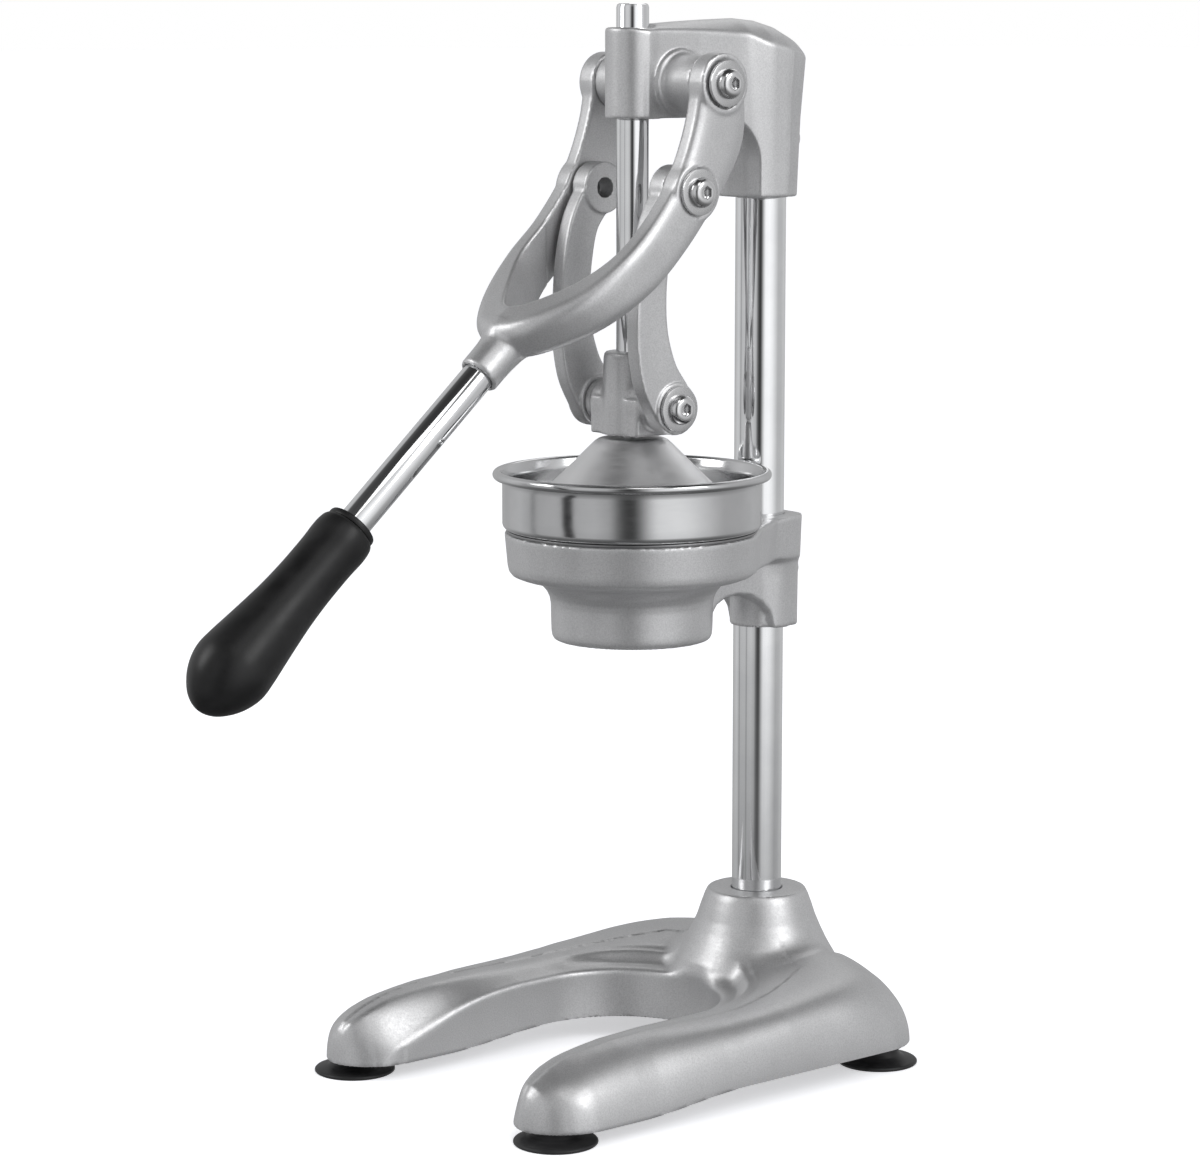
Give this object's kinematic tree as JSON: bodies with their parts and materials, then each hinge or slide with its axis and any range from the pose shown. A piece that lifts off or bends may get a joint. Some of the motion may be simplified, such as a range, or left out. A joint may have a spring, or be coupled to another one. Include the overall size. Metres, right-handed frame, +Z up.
{
  "type": "citrus press juicer",
  "caption": "Hand lever citrus press with a horseshoe base, column, forked lever, linked sliding press, strainer bowl and reamer over a glass bay.",
  "frame": {"origin": "centre of the whole juicer's outline on the table plane under the feet, lever down", "axes": "+Z up along the column, -Y the way the lever points, +X to the right of someone facing along +Y; the juicer is narrowest along X"},
  "size_m": [0.188, 0.3571, 0.499],
  "materials": {
    "cast_aluminium": "fine blasted and lacquered casting, satin",
    "spun_hood": "satin, lightly brushed round the axis",
    "chromed_steel": "bright chrome plate on ground bar and tube",
    "stainless_sheet": "polished stainless sheet with fine turning marks",
    "bright_hardware": "polished stainless screws, bushes and washers",
    "bearing_steel": "ground steel",
    "grip_rubber": "moulded, smooth satin black",
    "foot_rubber": "moulded soft rubber, matt black"
  },
  "bodies": {
    "stand": {"base_casting": "cast_aluminium", "column_tube": "chromed_steel", "head_casting": "cast_aluminium", "guide_bush": "bearing_steel", "holder_casting": "cast_aluminium", "juice_funnel": "stainless_sheet", "strainer_bowl": "stainless_sheet", "reamer_cone": "stainless_sheet", "head_set_screw": "bright_hardware", "holder_set_screw": "bright_hardware", "base_set_screw": "bright_hardware", "right_pivot_bush": "bright_hardware", "left_pivot_bush": "bright_hardware", "right_pivot_screw": "bright_hardware", "left_pivot_screw": "bright_hardware", "front_right_foot": "foot_rubber", "front_left_foot": "foot_rubber", "rear_right_foot": "foot_rubber", "rear_left_foot": "foot_rubber", "foot_screws": "bright_hardware"},
    "lever": {"yoke_casting": "cast_aluminium", "handle_rod": "chromed_steel", "grip": "grip_rubber", "grip_collar": "grip_rubber", "right_link_washer": "bright_hardware", "left_link_washer": "bright_hardware", "right_link_screw": "bright_hardware", "left_link_screw": "bright_hardware"},
    "press": {"crosshead_casting": "cast_aluminium", "guide_rod": "chromed_steel", "press_hood": "spun_hood", "hood_stud": "bright_hardware", "hood_nut": "bright_hardware", "right_cross_bush": "bright_hardware", "left_cross_bush": "bright_hardware", "right_cross_screw": "bright_hardware", "left_cross_screw": "bright_hardware"},
    "right_link": {"right_link": "cast_aluminium"},
    "left_link": {"left_link": "cast_aluminium"}
  },
  "joints": [
    {"name": "lever_hinge", "type": "hinge", "parent": "stand", "child": "lever", "pos_m": [0, 0.086, 0.463], "axis": [-1, 0, 0], "range_deg": [0, 110]},
    {"name": "press_slide", "type": "slide", "parent": "stand", "child": "press", "axis": [0, 0, 1], "range_m": [0, 0.0823]},
    {"name": "right_link_swing", "type": "hinge", "parent": "press", "child": "right_link", "pos_m": [0.027, 0.068, 0.3155], "axis": [1, 0, 0], "range_deg": [0, 14.4]},
    {"name": "left_link_swing", "type": "hinge", "parent": "press", "child": "left_link", "pos_m": [-0.027, 0.068, 0.3155], "axis": [1, 0, 0], "range_deg": [0, 14.4]}
  ],
  "couplings": [
    {"joint": "press_slide", "follows": "lever_hinge", "m_per_rad": 0.042867},
    {"joint": "right_link_swing", "follows": "lever_hinge", "ratio": 0.13064},
    {"joint": "left_link_swing", "follows": "lever_hinge", "ratio": 0.13064}
  ]
}
